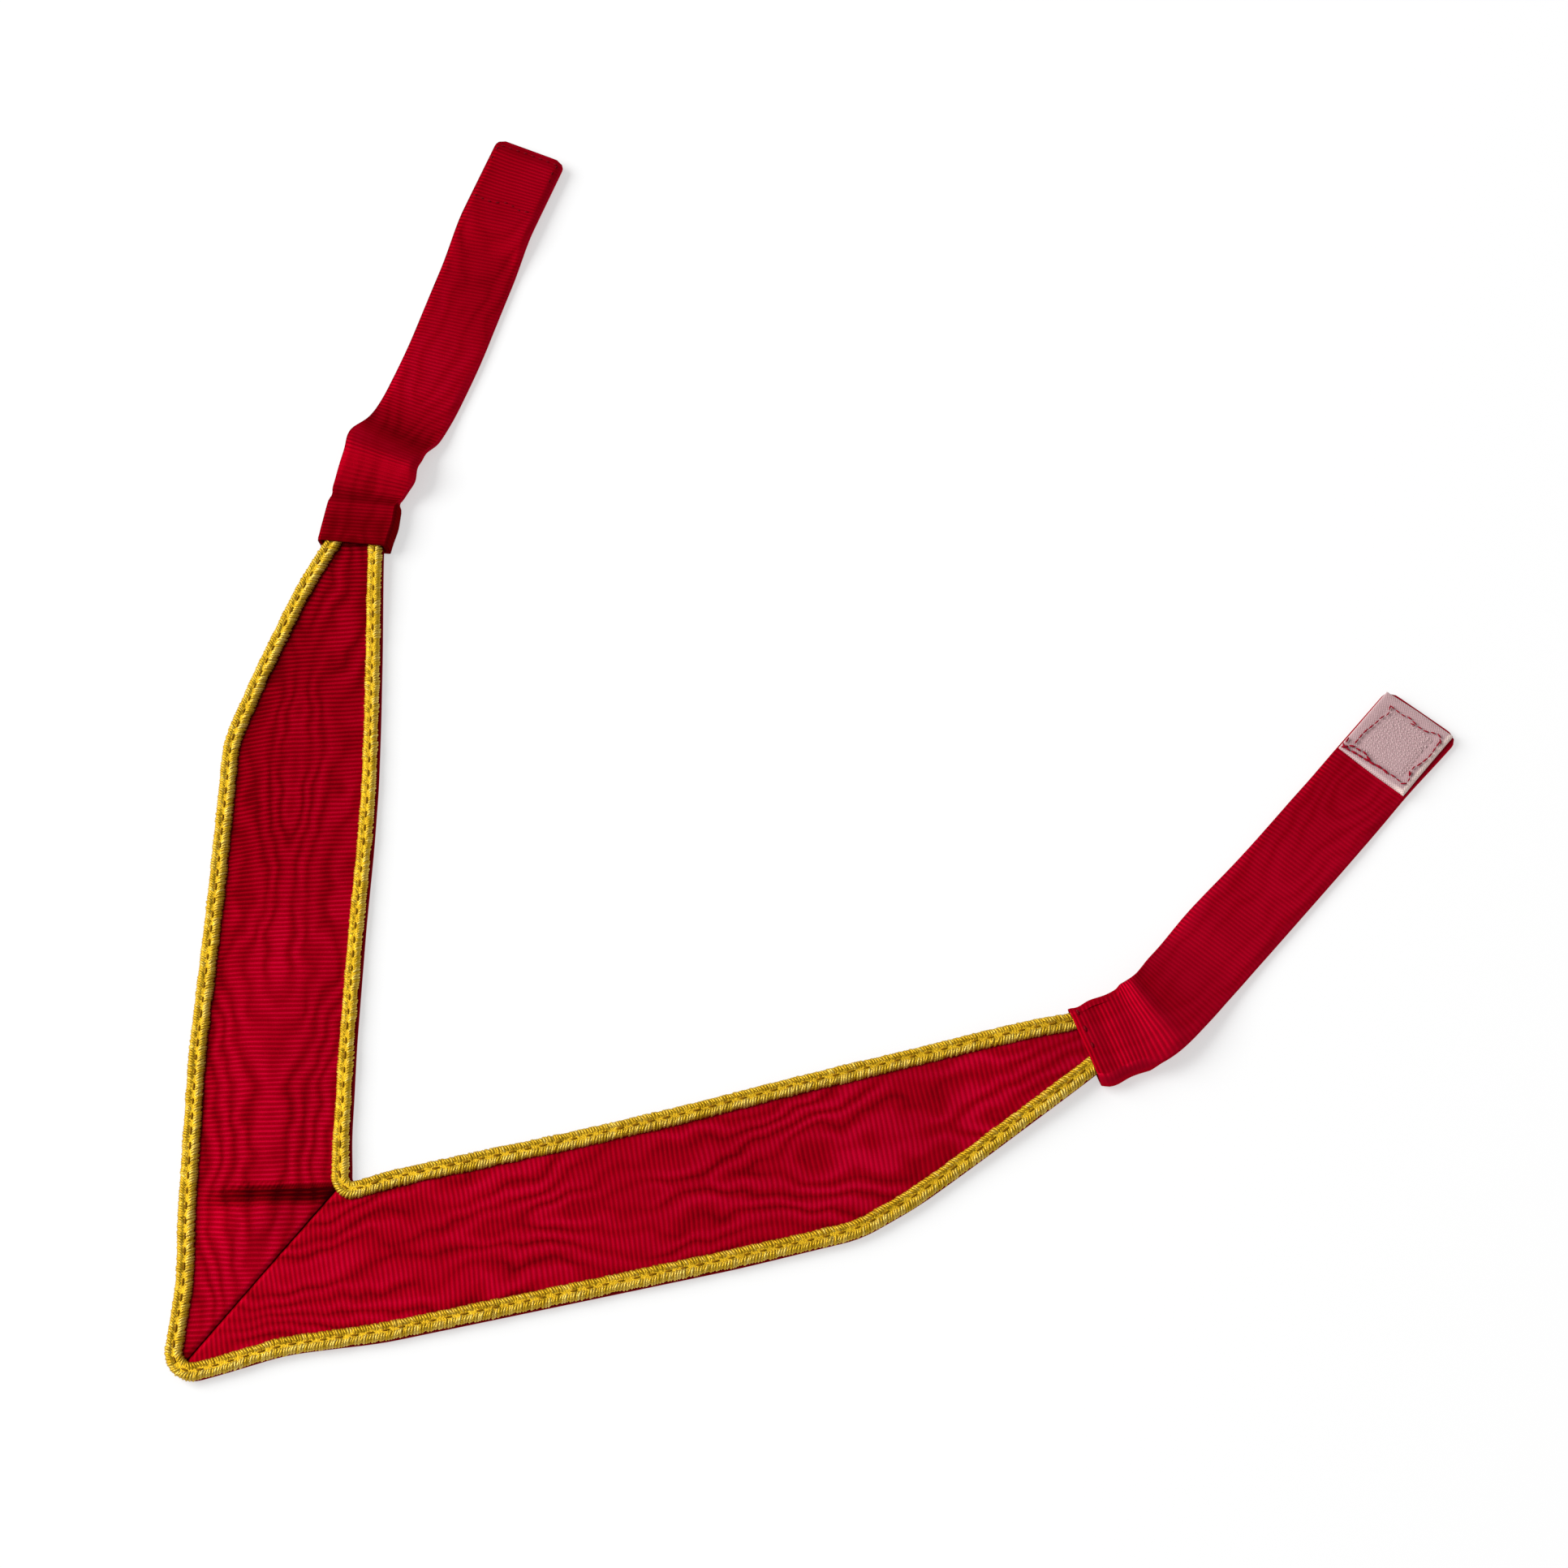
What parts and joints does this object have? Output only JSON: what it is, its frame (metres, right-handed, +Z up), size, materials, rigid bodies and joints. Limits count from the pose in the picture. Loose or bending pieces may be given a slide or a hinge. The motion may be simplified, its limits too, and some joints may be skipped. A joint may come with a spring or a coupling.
{
  "type": "masonic collar",
  "caption": "V-shaped ceremonial neck collar of ribbed crimson ribbon with a mitred point, gold braid along both edges, and sleeve straps that close with a hook-and-loop pair.",
  "frame": {"origin": "middle of the mitre seam at the V's point, on the backing's flat underside, the surface that the collar lies on", "axes": "+Z up out of the worn face, +Y from the point towards the neck opening along the mitre seam, +X towards the arm whose strap carries the hook square"},
  "size_m": [0.4011, 0.3975, 0.0086],
  "materials": {
    "backing_cloth": "matt dark red lining cloth",
    "ribbon": "ribbed ribbon with a watered sheen",
    "braid": "gold metallic thread in two woven cords",
    "strap_ribbon": "folded ribbed ribbon with a soft sheen",
    "hook_tape": "pale pink woven tape with a field of small hooks",
    "loop_tape": "pale pink woven tape with a pile of small loops"
  },
  "bodies": {
    "root": {"backing": "backing_cloth", "ribbon_left": "ribbon", "ribbon_right": "ribbon", "braid_outer": "braid", "braid_inner": "braid", "strap_left": "strap_ribbon", "strap_right": "strap_ribbon", "hook_pad": "hook_tape", "loop_pad": "loop_tape"}
  },
  "joints": []
}
